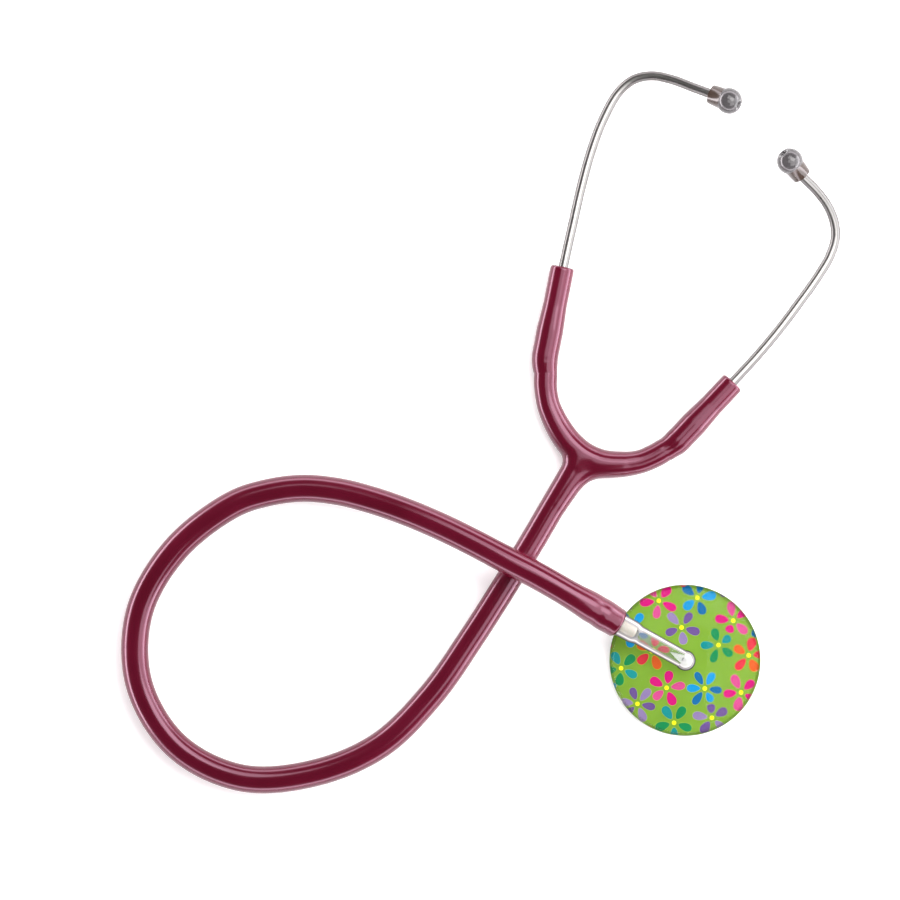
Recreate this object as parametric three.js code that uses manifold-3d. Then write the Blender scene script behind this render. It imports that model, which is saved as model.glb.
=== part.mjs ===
// A single-head stethoscope lying on a table, in millimetres, +Z up.
// The origin is the centre of the diaphragm's outer face, and z = 0 is the table.
// The chestpiece is a clear moulded head over a printed disc. Its stem rises towards the hose, which
// runs once round in a loop, passes under itself and ends in the Y of the moulded binaural tubing.

import * as THREE from "three";
import { mergeVertices } from "three/addons/utils/BufferGeometryUtils.js";
import Module from "manifold-3d";

const wasm = await Module();
wasm.setup();

// ---- driving dimensions ----

const GAP = 0.3; // clearance between neighbouring pieces

const HEAD_RADIUS = 27.5;
const PRINT_RADIUS = 27.1;
const CUP_RADIUS = 26;
const SOUND_HOLE_RADIUS = 1.8; // down through the head
const CUP_HOLE_RADIUS = 1;
const PRINT_WINDOW_LENGTH = 6; // of the drop-shaped opening in the print, towards the stem
const RING_WALL_RADIUS = 26.3;
const RING_LIP_RADIUS = 24.6;
const RING_TOP = 3.6;
const CUP_BOTTOM = 1.9;
const CUP_TOP = 3.6;
const PRINT_THICKNESS = 0.4;
const PRINT_BOTTOM = CUP_TOP + GAP;
const HEAD_BOTTOM = PRINT_BOTTOM + PRINT_THICKNESS + GAP;
const HEAD_RIM_TOP = 7;
const HEAD_TOP = 9.6;

const STEM_AZIMUTH = 151.2; // degrees from +X, seen from above
const STEM_TILT = 12; // degrees above the table
const STEM_ROOT_HEIGHT = 9.5;
const STEM_RADIUS = 3.3;
const STEM_BALL_RADIUS = 3.75;
const STEM_BORE_RADIUS = 1.8;
const COLLAR_RADIUS = 4.1;
const COLLAR_START = 22;
const COLLAR_END = 28.1;
const SOCKET_RADIUS = 2.45;
const SOCKET_START = 20.1;

const SEAL_POSITION = 20.75; // the ring between the socket's floor and the spigot's end
const SEAL_RADIUS = 1.85;
const SEAL_THICKNESS = 0.6;

const SPIGOT_RADIUS = 2.15;
const SHANK_RADIUS = 2.7; // of the connector inside the hose
const CONNECTOR_START = 21.4;
const CONNECTOR_END = 46;
const CONNECTOR_BORE_RADIUS = 1.2;
const BARB_RADIUS = 3.5;
const BARB_PITCH = 5.2;
const BARB_COUNT = 3;

const HOSE_RADIUS = 5;
const LUMEN_RADIUS = 2.5;
const HOSE_START = COLLAR_END + GAP;
const HOSE_CUFF_END = 47;
const HOSE_FLEX_LENGTH = 19;

const TUBING_HEIGHT = 5; // axis height of everything that lies on the table
const ARM_RADIUS = 4.45;
const ARM_LUMEN_RADIUS = 2;
const SLEEVE_BULGE_RADIUS = 4.95;
const SLEEVE_END_RADIUS = 4.45;

const SPRING_OFFSET = 3.05; // from the arm's axis towards the crotch
const SPRING_THICKNESS = 0.5;
const SPRING_WIDTH = 2.4;
const SPRING_POCKET_DEPTH = 4.2;

const EAR_TUBE_RADIUS = 1.75;
const EAR_TUBE_BORE_RADIUS = 1.3;
const FERRULE_START = 5.5; // along the sleeve
const FERRULE_LENGTH = 11;
const FERRULE_RADIUS = 3;
const FERRULE_BARBS = 3;

const EARTIP_BARREL_RADIUS = 3.6;
const EARTIP_NECK_RADIUS = 4.05; // where the barrel runs into the ball
const EARTIP_BALL_RADIUS = 4.8;
const EARTIP_BALL_CENTRE = 7.4;
const EARTIP_FACE_RADIUS = 2.6; // the flat round the sound hole
const EARTIP_SOUND_HOLE_RADIUS = 1.1;
const NIPPLE_RADIUS = 2.5;
const NIPPLE_LENGTH = 5.2;
const TUBE_IN_EARTIP = 6;

// ---- materials ----

const finish = (color, roughness, metalness = 0, opacity = 1) =>
  new THREE.MeshStandardMaterial({ color, roughness, metalness, opacity, transparent: opacity < 1 });

const materials = {
  clear: finish(0xf4f8f6, 0.05, 0, 0.35),
  print: finish(0x94cb48, 0.35),
  white: finish(0xf2f2ee, 0.4),
  ivory: finish(0xe6dfd0, 0.35),
  seal: finish(0x8c9190, 0.5),
  tubing: finish(0x6a1029, 0.22),
  springSteel: finish(0x9a9c9e, 0.35, 1),
  stainless: finish(0xc9c8c6, 0.18, 1),
  brass: finish(0xc8a45a, 0.3, 1),
  eartip: finish(0x5c524e, 0.2),
};

// ---- helpers ----

const degrees = THREE.MathUtils.degToRad;
const point = (x, y, z = TUBING_HEIGHT) => new THREE.Vector3(x, y, z);
const up = new THREE.Vector3(0, 0, 1);

const directionFrom = (azimuth, tilt = 0) =>
  new THREE.Vector3(
    Math.cos(degrees(azimuth)) * Math.cos(degrees(tilt)),
    Math.sin(degrees(azimuth)) * Math.cos(degrees(tilt)),
    Math.sin(degrees(tilt)),
  );

// The matrix that stands a lathe's axis, local +Y, on an origin and along a direction.
function axisMatrix(origin, direction) {
  const turn = new THREE.Quaternion().setFromUnitVectors(new THREE.Vector3(0, 1, 0), direction);
  return new THREE.Matrix4().compose(origin, turn, new THREE.Vector3(1, 1, 1));
}

// A profile is a list of [radius, height] pairs, anticlockwise round the material.
// One that doesn't begin on the axis is closed back to its first point.
function lathe(profile, sides) {
  const points = profile.map(([radius, height]) => new THREE.Vector2(radius, height));
  if (profile[0][0] > 0) points.push(points[0].clone());
  return new THREE.LatheGeometry(points, sides);
}

function sweep(shape, curve, steps) {
  return new THREE.ExtrudeGeometry(shape, { steps, extrudePath: curve, curveSegments: 1 });
}

function polygonPoints(radius, sides) {
  return Array.from({ length: sides }, (_, i) => {
    const turn = (2 * Math.PI * (i + 0.5)) / sides;
    return new THREE.Vector2(radius * Math.cos(turn), radius * Math.sin(turn));
  });
}

function tubeSection(radius, sides, boreRadius = 0, boreSides = 8) {
  const section = new THREE.Shape(polygonPoints(radius, sides));
  if (boreRadius > 0) section.holes.push(new THREE.Path(polygonPoints(boreRadius, boreSides)));
  return section;
}

// The stretch of a curve between two lengths along it.
function stretch(curve, from, to, count) {
  const whole = curve.getLength();
  const points = Array.from({ length: count + 1 }, (_, i) =>
    curve.getPointAt((from + ((to - from) * i) / count) / whole),
  );
  return new THREE.CatmullRomCurve3(points);
}

function solidOf(geometry, matrix) {
  const bare = geometry.clone();
  bare.deleteAttribute("normal");
  bare.deleteAttribute("uv");
  if (matrix) bare.applyMatrix4(matrix);
  const merged = mergeVertices(bare, 1e-4);
  return new wasm.Manifold(
    new wasm.Mesh({
      numProp: 3,
      vertProperties: Float32Array.from(merged.attributes.position.array),
      triVerts: Uint32Array.from(merged.index.array),
    }),
  );
}

function geometryOf(solid) {
  const mesh = solid.getMesh();
  const geometry = new THREE.BufferGeometry();
  geometry.setAttribute("position", new THREE.BufferAttribute(mesh.vertProperties, 3));
  geometry.setIndex(new THREE.BufferAttribute(mesh.triVerts, 1));
  geometry.computeVertexNormals();
  return geometry;
}

const stethoscope = new THREE.Group();

function addPart(name, geometry, material, matrix) {
  const mesh = new THREE.Mesh(geometry, material);
  mesh.name = name;
  if (matrix) mesh.applyMatrix4(matrix);
  stethoscope.add(mesh);
}

// ---- frames shared by the pieces ----

const uprightMatrix = new THREE.Matrix4().makeRotationX(Math.PI / 2);

const stemDirection = directionFrom(STEM_AZIMUTH, STEM_TILT);
const stemRoot = point(0, 0, STEM_ROOT_HEIGHT);
const stemMatrix = axisMatrix(stemRoot, stemDirection);
const onStem = (distance) => stemRoot.clone().addScaledVector(stemDirection, distance);

// Each side's sleeve axis, from the step where the sleeve begins, and the ear tube beyond its mouth.
const sides = [
  {
    side: "left",
    crotchSide: -1, // the crotch is to the right of the way the sleeve points
    sleeveStart: point(-50.9, 107.2),
    sleeveDirection: directionFrom(79.3),
    sleeveLength: 36.4,
    bulgeLength: 13,
    tubeRoute: [
      point(-40.6, 159.2, 5),
      point(-37.8, 171.5, 5),
      point(-34.4, 184, 5.1),
      point(-30, 196, 5.5),
      point(-24.3, 206.2, 6.3),
      point(-18.7, 210.9, 7.4),
      point(-12.2, 212.2, 8.9),
      point(-5.1, 210.8, 10.9),
      point(2.6, 207.8, 13.8),
    ],
    tipStart: point(9.1, 205.25, 16.3),
    tipDirection: directionFrom(-21.7, 20),
  },
  {
    side: "right",
    crotchSide: 1,
    sleeveStart: point(-5, 77.3),
    sleeveDirection: directionFrom(46.7),
    sleeveLength: 32.8,
    bulgeLength: 12,
    tubeRoute: [
      point(26.2, 110.6, 5),
      point(34.3, 120.3, 5),
      point(41.9, 130.4, 5),
      point(48.4, 139.6, 5.2),
      point(52.8, 147.2, 5.7),
      point(54.6, 153.8, 6.7),
      point(54, 159.4, 8.2),
      point(51.6, 165, 10.2),
      point(47.7, 170.1, 12.5),
    ],
    tipStart: point(42.1, 175.6, 15.3),
    tipDirection: directionFrom(130.2, 20),
  },
];

// The one axis of both arms: from the left sleeve, round the crotch, to the right sleeve.
const armsCurve = new THREE.CatmullRomCurve3([
  sides[0].sleeveStart,
  point(-51.2, 105.7),
  point(-51.1, 101.4),
  point(-50.2, 96.2),
  point(-48.4, 90.2),
  point(-45.6, 84),
  point(-41.8, 78.3),
  point(-37.3, 74.3),
  point(-31.9, 72),
  point(-25.5, 71.2),
  point(-18.5, 71.5),
  point(-12.6, 72.9),
  point(-6.1, 76.2),
  sides[1].sleeveStart,
]);
const armsLength = armsCurve.getLength();
const LEFT_ARM_LENGTH = 24;
const RIGHT_ARM_LENGTH = 22;

const yJunction = point(-38.9, 72.1);
const hoseEndAtY = point(-49.4, 53.6);

// The hose's route, from the chestpiece's stem to the Y: over the far strand in a long low hump,
// once round the loop on the table, and back under itself.
const hoseRoute = [
  onStem(HOSE_CUFF_END),
  onStem(HOSE_CUFF_END + 3),
  point(-53.7, 30.4, 20.1),
  point(-65.2, 36.8, 19.5),
  point(-76.8, 42.9, 17.7),
  point(-88.7, 48.7, 15.1),
  point(-100.8, 53.8, 12.3),
  point(-113.2, 58.1, 9.5),
  point(-125.9, 61.3, 7.2),
  point(-139, 62.5, 5.7),
  point(-152.1, 60.8, 5.1),
  point(-164.5, 56.5),
  point(-185.1, 40.4),
  point(-198.2, 17.6),
  point(-198.4, -8.5),
  point(-184.9, -31),
  point(-161.5, -42.7),
  point(-135.2, -41.1),
  point(-111.1, -31),
  point(-92.3, -12.7),
  point(-77.2, 8.7),
  point(-63.1, 30.9),
  point(-56.2, 42),
  hoseEndAtY,
];
const hoseCurve = new THREE.CatmullRomCurve3(hoseRoute);

// ---- chestpiece ----

function addHeadBody() {
  const dome = lathe(
    [
      [0, HEAD_BOTTOM],
      [HEAD_RADIUS, HEAD_BOTTOM],
      [HEAD_RADIUS, HEAD_RIM_TOP - 0.7],
      [HEAD_RADIUS - 0.5, HEAD_RIM_TOP],
      [24.4, 7.6],
      [20.9, 8.2],
      [14.3, 9],
      [7, 9.5],
      [0, HEAD_TOP],
    ],
    44,
  );
  const stem = lathe(
    [
      [0, 0],
      [STEM_RADIUS, 0],
      [STEM_RADIUS + 0.2, COLLAR_START - 2.2],
      [COLLAR_RADIUS, COLLAR_START],
      [COLLAR_RADIUS, COLLAR_END],
      [0, COLLAR_END],
    ],
    20,
  );
  const ball = new THREE.SphereGeometry(STEM_BALL_RADIUS, 20, 12);
  const bore = lathe(
    [
      [0, 0],
      [STEM_BORE_RADIUS, 0],
      [STEM_BORE_RADIUS, SOCKET_START],
      [SOCKET_RADIUS, SOCKET_START],
      [SOCKET_RADIUS, COLLAR_END + 1],
      [0, COLLAR_END + 1],
    ],
    16,
  );
  const hole = new THREE.CylinderGeometry(SOUND_HOLE_RADIUS, SOUND_HOLE_RADIUS, STEM_ROOT_HEIGHT, 16);
  const holeMatrix = uprightMatrix.clone().setPosition(0, 0, STEM_ROOT_HEIGHT / 2 + 1);
  const body = solidOf(dome, uprightMatrix)
    .add(solidOf(stem, stemMatrix))
    .add(solidOf(ball, stemMatrix))
    .subtract(solidOf(bore, stemMatrix))
    .subtract(solidOf(hole, holeMatrix));
  addPart("head_body", geometryOf(body), materials.clear);
}

// The opening in the print: round at the middle, and drawn out to a point under the stem.
function dropShape(radius, reach) {
  const drop = new THREE.Shape();
  const leave = Math.acos(radius / reach);
  drop.moveTo(reach, 0);
  drop.lineTo(radius * Math.cos(leave), radius * Math.sin(leave));
  drop.absarc(0, 0, radius, leave, 2 * Math.PI - leave, false);
  drop.lineTo(reach, 0);
  return drop;
}

function addPrintDisc() {
  const disc = new THREE.Shape();
  disc.absarc(0, 0, PRINT_RADIUS, 0, 2 * Math.PI, false);
  disc.holes.push(dropShape(SOUND_HOLE_RADIUS, PRINT_WINDOW_LENGTH));
  const print = new THREE.ExtrudeGeometry(disc, {
    depth: PRINT_THICKNESS,
    bevelEnabled: false,
    curveSegments: 40,
  });
  const printMatrix = new THREE.Matrix4().makeRotationZ(degrees(STEM_AZIMUTH));
  printMatrix.setPosition(0, 0, PRINT_BOTTOM);
  addPart("print_disc", print, materials.print, printMatrix);
}

function addHeadStack() {
  const cup = [
    [CUP_HOLE_RADIUS, CUP_TOP - 0.7],
    [23.4, 2.4],
    [24.2, CUP_BOTTOM],
    [CUP_RADIUS, CUP_BOTTOM],
    [CUP_RADIUS, CUP_TOP],
    [CUP_HOLE_RADIUS, CUP_TOP],
  ];
  const diaphragm = [
    [0, 0],
    [23.9, 0],
    [24.2, 0.3],
    [24.2, 0.9],
    [25.9, 0.9],
    [25.9, 1.3],
    [23.7, 1.3],
    [23.7, 0.45],
    [0, 0.45],
  ];
  const ring = [
    [RING_LIP_RADIUS, 0],
    [HEAD_RADIUS - 0.4, 0],
    [HEAD_RADIUS, 0.4],
    [HEAD_RADIUS, RING_TOP],
    [RING_WALL_RADIUS, RING_TOP],
    [RING_WALL_RADIUS, 0.6],
    [RING_LIP_RADIUS, 0.6],
  ];
  addPart("backing_cup", lathe(cup, 40), materials.white, uprightMatrix);
  addPart("diaphragm", lathe(diaphragm, 40), materials.white, uprightMatrix);
  addPart("retaining_ring", lathe(ring, 40), materials.clear, uprightMatrix);
}

function addStemConnector() {
  const barbStart = CONNECTOR_END - BARB_COUNT * BARB_PITCH;
  const outside = [
    [CONNECTOR_BORE_RADIUS, CONNECTOR_START],
    [SPIGOT_RADIUS - 0.3, CONNECTOR_START],
    [SPIGOT_RADIUS, CONNECTOR_START + 0.4],
    [SPIGOT_RADIUS, COLLAR_END + GAP],
    [SHANK_RADIUS, COLLAR_END + GAP],
  ];
  for (let i = 0; i < BARB_COUNT; i += 1) {
    const foot = barbStart + i * BARB_PITCH;
    outside.push([SHANK_RADIUS, foot], [BARB_RADIUS, foot + 0.8], [BARB_RADIUS, foot + 1.6]);
  }
  outside.push([SHANK_RADIUS - 0.2, CONNECTOR_END], [CONNECTOR_BORE_RADIUS, CONNECTOR_END]);
  addPart("stem_connector", lathe(outside, 16), materials.ivory, stemMatrix);

  const seal = new THREE.TorusGeometry(SEAL_RADIUS, SEAL_THICKNESS / 2, 8, 20);
  const sealMatrix = stemMatrix.clone().multiply(
    new THREE.Matrix4().makeRotationX(Math.PI / 2).setPosition(0, SEAL_POSITION, 0),
  );
  addPart("stem_o_ring", seal, materials.seal, sealMatrix);
}

// ---- hose ----

function addHose() {
  const bulge = HOSE_RADIUS + 0.6;
  const cuff = [
    [BARB_RADIUS + GAP, HOSE_START],
    [HOSE_RADIUS + 0.3, HOSE_START],
    [bulge, HOSE_START + 1],
    [bulge, 34.5],
    [HOSE_RADIUS + 0.35, 36.4],
    [bulge, 38.6],
    [HOSE_RADIUS + 0.3, 41.4],
    [HOSE_RADIUS + 0.4, 43.2],
    [HOSE_RADIUS, HOSE_CUFF_END],
    [BARB_RADIUS + GAP, HOSE_CUFF_END],
  ];
  addPart("hose_end", lathe(cuff, 12), materials.tubing, stemMatrix);

  const section = tubeSection(HOSE_RADIUS, 10, LUMEN_RADIUS, 6);
  const whole = hoseCurve.getLength();
  const flexEnd = GAP + HOSE_FLEX_LENGTH;
  const flexCurve = stretch(hoseCurve, GAP, flexEnd, 8);
  addPart("hose_flex", sweep(section, flexCurve, 4), materials.tubing);

  const mainCurve = stretch(hoseCurve, flexEnd + GAP, whole - GAP, 120);
  addPart("hose_main", sweep(section, mainCurve, 52), materials.tubing);
}

// ---- binaural tubing and its spring ----

// The spring's axis: beside the arms' axis on the crotch side, and straight on into both sleeves.
function springPoints() {
  const points = [];
  const count = 36;
  for (let i = 1; i < count; i += 1) {
    const inward = up.clone().cross(armsCurve.getTangentAt(i / count));
    points.push(armsCurve.getPointAt(i / count).addScaledVector(inward, SPRING_OFFSET));
  }
  const pocketPoint = (side, depth) => {
    const across = up.clone().cross(side.sleeveDirection);
    return side.sleeveStart
      .clone()
      .addScaledVector(across, side.crotchSide * SPRING_OFFSET)
      .addScaledVector(side.sleeveDirection, depth);
  };
  const depths = [0.6, 2.4, SPRING_POCKET_DEPTH];
  const left = depths.map((depth) => pocketPoint(sides[0], depth)).reverse();
  const right = depths.map((depth) => pocketPoint(sides[1], depth));
  return [...left, ...points, ...right];
}

function stripSection(thickness, width) {
  const halfWidth = width / 2;
  const halfThickness = thickness / 2;
  return new THREE.Shape([
    new THREE.Vector2(-halfWidth, -halfThickness),
    new THREE.Vector2(halfWidth, -halfThickness),
    new THREE.Vector2(halfWidth, halfThickness),
    new THREE.Vector2(-halfWidth, halfThickness),
  ]);
}

function addBinauralTubing() {
  const springPath = springPoints();
  const slotCurve = new THREE.CatmullRomCurve3(springPath);
  const slotSection = stripSection(SPRING_THICKNESS + 2 * GAP, SPRING_WIDTH + 2 * GAP);
  const slot = solidOf(sweep(slotSection, slotCurve, 44));
  const springCurve = stretch(slotCurve, GAP, slotCurve.getLength() - GAP, 88);
  const springSection = stripSection(SPRING_THICKNESS, SPRING_WIDTH);
  addPart("leaf_spring", sweep(springSection, springCurve, 44), materials.springSteel);

  const armSection = tubeSection(ARM_RADIUS, 12, ARM_LUMEN_RADIUS);
  const leftCurve = stretch(armsCurve, GAP, LEFT_ARM_LENGTH, 16);
  const rightStart = armsLength - RIGHT_ARM_LENGTH;
  const rightCurve = stretch(armsCurve, rightStart, armsLength - GAP, 16);
  const leftArm = solidOf(sweep(armSection, leftCurve, 6)).subtract(slot);
  const rightArm = solidOf(sweep(armSection, rightCurve, 6)).subtract(slot);
  addPart("left_arm_flex", geometryOf(leftArm), materials.tubing);
  addPart("right_arm_flex", geometryOf(rightArm), materials.tubing);

  const hubCurve = stretch(armsCurve, LEFT_ARM_LENGTH + GAP, rightStart - GAP, 16);
  const stemCurve = new THREE.LineCurve3(hoseEndAtY, yJunction);
  const boreCurve = stretch(armsCurve, LEFT_ARM_LENGTH, rightStart, 16);
  const stemStep = yJunction.clone().sub(hoseEndAtY).setLength(1);
  const stemBoreCurve = new THREE.LineCurve3(hoseEndAtY.clone().sub(stemStep), yJunction);
  const hub = solidOf(sweep(tubeSection(ARM_RADIUS + 0.35, 12), hubCurve, 8))
    .add(solidOf(sweep(tubeSection(HOSE_RADIUS, 12), stemCurve, 1)))
    .subtract(solidOf(sweep(tubeSection(ARM_LUMEN_RADIUS, 8), boreCurve, 8)))
    .subtract(solidOf(sweep(tubeSection(ARM_LUMEN_RADIUS, 8), stemBoreCurve, 1)))
    .subtract(slot);
  addPart("y_hub", geometryOf(hub), materials.tubing);

  for (const side of sides) {
    const matrix = axisMatrix(side.sleeveStart, side.sleeveDirection);
    const socketStart = FERRULE_START - GAP;
    const socketEnd = FERRULE_START + FERRULE_LENGTH + GAP;
    const boreRadius = EAR_TUBE_RADIUS + GAP;
    const sleeve = lathe(
      [
        [ARM_LUMEN_RADIUS, 0],
        [ARM_RADIUS, 0],
        [SLEEVE_BULGE_RADIUS, 1.8],
        [SLEEVE_BULGE_RADIUS, side.bulgeLength],
        [SLEEVE_END_RADIUS, side.bulgeLength + 9],
        [SLEEVE_END_RADIUS, side.sleeveLength - 0.5],
        [SLEEVE_END_RADIUS - 0.5, side.sleeveLength],
        [boreRadius, side.sleeveLength],
        [boreRadius, socketEnd],
        [FERRULE_RADIUS + GAP, socketEnd],
        [FERRULE_RADIUS + GAP, socketStart],
        [ARM_LUMEN_RADIUS, socketStart],
      ],
      16,
    );
    const body = solidOf(sleeve, matrix).subtract(slot);
    addPart(`${side.side}_sleeve`, geometryOf(body), materials.tubing);
  }
}

// ---- ear tubes and tips ----

function addEarTube(side) {
  const sleeveMatrix = axisMatrix(side.sleeveStart, side.sleeveDirection);
  const onSleeve = (distance) =>
    side.sleeveStart.clone().addScaledVector(side.sleeveDirection, distance);
  const onTip = (distance) => side.tipStart.clone().addScaledVector(side.tipDirection, distance);

  const curve = new THREE.CatmullRomCurve3([
    onSleeve(FERRULE_START),
    onSleeve(side.sleeveLength / 2),
    onSleeve(side.sleeveLength + 1),
    ...side.tubeRoute,
    side.tipStart,
    onTip(TUBE_IN_EARTIP),
  ]);
  const section = tubeSection(EAR_TUBE_RADIUS, 8, EAR_TUBE_BORE_RADIUS, 6);
  addPart(`${side.side}_ear_tube`, sweep(section, curve, 46), materials.stainless);

  const ferrule = [[EAR_TUBE_RADIUS + GAP, 0]];
  const pitch = FERRULE_LENGTH / FERRULE_BARBS;
  for (let i = 0; i < FERRULE_BARBS; i += 1) {
    ferrule.push([FERRULE_RADIUS - 0.45, i * pitch], [FERRULE_RADIUS, (i + 0.7) * pitch]);
  }
  ferrule.push([FERRULE_RADIUS - 0.45, FERRULE_LENGTH], [EAR_TUBE_RADIUS + GAP, FERRULE_LENGTH]);
  const ferruleMatrix = axisMatrix(onSleeve(FERRULE_START), side.sleeveDirection);
  addPart(`${side.side}_tube_ferrule`, lathe(ferrule, 14), materials.brass, ferruleMatrix);
}

function addEartip(side) {
  const matrix = axisMatrix(side.tipStart, side.tipDirection);
  const nippleStart = 0.5;
  const nipple = [
    [EAR_TUBE_RADIUS + GAP, nippleStart],
    [NIPPLE_RADIUS - 0.2, nippleStart],
    [NIPPLE_RADIUS, nippleStart + 0.4],
    [NIPPLE_RADIUS, nippleStart + NIPPLE_LENGTH - 0.4],
    [NIPPLE_RADIUS - 0.2, nippleStart + NIPPLE_LENGTH],
    [EAR_TUBE_RADIUS + GAP, nippleStart + NIPPLE_LENGTH],
  ];
  addPart(`${side.side}_tip_nipple`, lathe(nipple, 14), materials.stainless, matrix);

  const boreRadius = NIPPLE_RADIUS + GAP;
  const faceReach = Math.sqrt(EARTIP_BALL_RADIUS ** 2 - EARTIP_FACE_RADIUS ** 2);
  const face = EARTIP_BALL_CENTRE + faceReach;
  const profile = [
    [boreRadius, 0],
    [EARTIP_BARREL_RADIUS - 0.3, 0],
    [EARTIP_BARREL_RADIUS, 0.3],
  ];
  const firstAngle = Math.asin(EARTIP_NECK_RADIUS / EARTIP_BALL_RADIUS);
  const lastAngle = Math.PI - Math.asin(EARTIP_FACE_RADIUS / EARTIP_BALL_RADIUS);
  const ballSteps = 7;
  for (let i = 0; i <= ballSteps; i += 1) {
    const angle = firstAngle + ((lastAngle - firstAngle) * i) / ballSteps;
    const along = EARTIP_BALL_CENTRE - EARTIP_BALL_RADIUS * Math.cos(angle);
    profile.push([EARTIP_BALL_RADIUS * Math.sin(angle), along]);
  }
  profile.push([EARTIP_SOUND_HOLE_RADIUS, face], [EARTIP_SOUND_HOLE_RADIUS, TUBE_IN_EARTIP + GAP]);
  profile.push([boreRadius, TUBE_IN_EARTIP + GAP]);
  addPart(`${side.side}_eartip`, lathe(profile, 16), materials.eartip, matrix);
}

addHeadBody();
addPrintDisc();
addHeadStack();
addStemConnector();
addHose();
addBinauralTubing();
for (const side of sides) {
  addEarTube(side);
  addEartip(side);
}

export default stethoscope;
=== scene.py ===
"""A single-head stethoscope lying in a loop on a pale table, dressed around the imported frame.

Lengths are millimetres in the frame's axes, and are turned into metres where objects are made. Only the
camera's height and the floor's reach are written in metres.
"""

import math
import random

import bmesh
import bpy
import numpy as np
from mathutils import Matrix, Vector

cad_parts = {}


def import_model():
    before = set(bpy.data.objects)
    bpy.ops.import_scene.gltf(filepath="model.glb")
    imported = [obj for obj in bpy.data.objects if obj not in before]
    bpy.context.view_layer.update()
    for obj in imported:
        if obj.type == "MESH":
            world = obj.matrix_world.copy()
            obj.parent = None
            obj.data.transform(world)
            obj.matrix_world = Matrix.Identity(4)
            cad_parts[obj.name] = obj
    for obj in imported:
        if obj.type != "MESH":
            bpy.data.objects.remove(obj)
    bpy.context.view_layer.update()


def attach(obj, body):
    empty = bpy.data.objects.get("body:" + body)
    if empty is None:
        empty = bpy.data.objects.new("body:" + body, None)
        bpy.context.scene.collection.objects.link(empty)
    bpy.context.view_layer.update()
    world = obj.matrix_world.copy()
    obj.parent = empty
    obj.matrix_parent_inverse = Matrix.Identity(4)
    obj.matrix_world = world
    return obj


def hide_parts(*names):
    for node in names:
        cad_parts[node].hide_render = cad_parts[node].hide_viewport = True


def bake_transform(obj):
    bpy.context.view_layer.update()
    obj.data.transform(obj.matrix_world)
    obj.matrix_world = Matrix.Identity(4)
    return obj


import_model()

MM = 0.001
GAP = 0.3

# ---- driving sizes, as in the frame ----

HEAD_RADIUS = 27.5
PRINT_RADIUS = 27.1
CUP_RADIUS = 26.0
SOUND_HOLE = 1.8
CUP_HOLE = 1.0
PRINT_WINDOW_LENGTH = 6.0
RING_TOP = 3.6
CUP_BOTTOM = 1.9
CUP_TOP = 3.6
PRINT_TOP = 4.3
HEAD_BOTTOM = 4.6
HEAD_RIM_TOP = 7.0
HEAD_TOP = 9.6

STEM_AZIMUTH = 151.2
STEM_TILT = 12.0
STEM_ROOT = Vector((0, 0, 9.5))
STEM_RADIUS = 3.3
BALL_RADIUS = 3.75
COLLAR_RADIUS = 4.1
COLLAR_START = 22.0
COLLAR_END = 28.1
SOCKET_RADIUS = 2.45
SOCKET_START = 20.1
SEAL_POSITION = 20.75
SEAL_RADIUS = 1.85
SEAL_THICKNESS = 0.6
SPIGOT_RADIUS = 2.15
SHANK_RADIUS = 2.7
CONNECTOR_START = 21.4
CONNECTOR_END = 46.0
CONNECTOR_BORE = 1.2
BARB_RADIUS = 3.5
BARB_PITCH = 5.2

LUMEN_RADIUS = 2.5
HOSE_START = COLLAR_END + GAP
HOSE_CUFF_END = 47.0

LIE = 5.0  # axis height of the tubing on the table
ARM_LUMEN = 2.0
SLEEVE_END_RADIUS = 4.38
SLEEVE_BULGE_RADIUS = 4.92
LEFT_ARM_LENGTH = 24.0
RIGHT_ARM_LENGTH = 22.0
SPRING_OFFSET = 3.05  # from the arms' centre line, towards the crotch
SPRING_THICKNESS = 0.5
SPRING_WIDTH = 2.4

TUBE_RADIUS = 1.75
TUBE_BORE = 1.3
FERRULE_START = 5.5
FERRULE_LENGTH = 11.0
FERRULE_RADIUS = 3.0

TIP_BARREL_RADIUS = 3.6
TIP_BARREL_END = 4.7
TIP_NECK_RADIUS = 4.05
TIP_BALL_RADIUS = 4.8
TIP_BALL_CENTRE = 7.4
TIP_FACE_RADIUS = 2.6
TIP_SOUND_HOLE = 1.1
NIPPLE_RADIUS = 2.5
NIPPLE_LENGTH = 5.2
TUBE_IN_TIP = 6.0


def direction(azimuth, tilt=0.0):
    """The unit vector at an azimuth and an upward tilt, in degrees."""
    a, t = math.radians(azimuth), math.radians(tilt)
    return Vector((math.cos(a) * math.cos(t), math.sin(a) * math.cos(t), math.sin(t)))


STEM_DIRECTION = direction(STEM_AZIMUTH, STEM_TILT)


def on_stem(distance):
    """The point on the stem's axis that far from its root."""
    return STEM_ROOT + STEM_DIRECTION * distance


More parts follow.
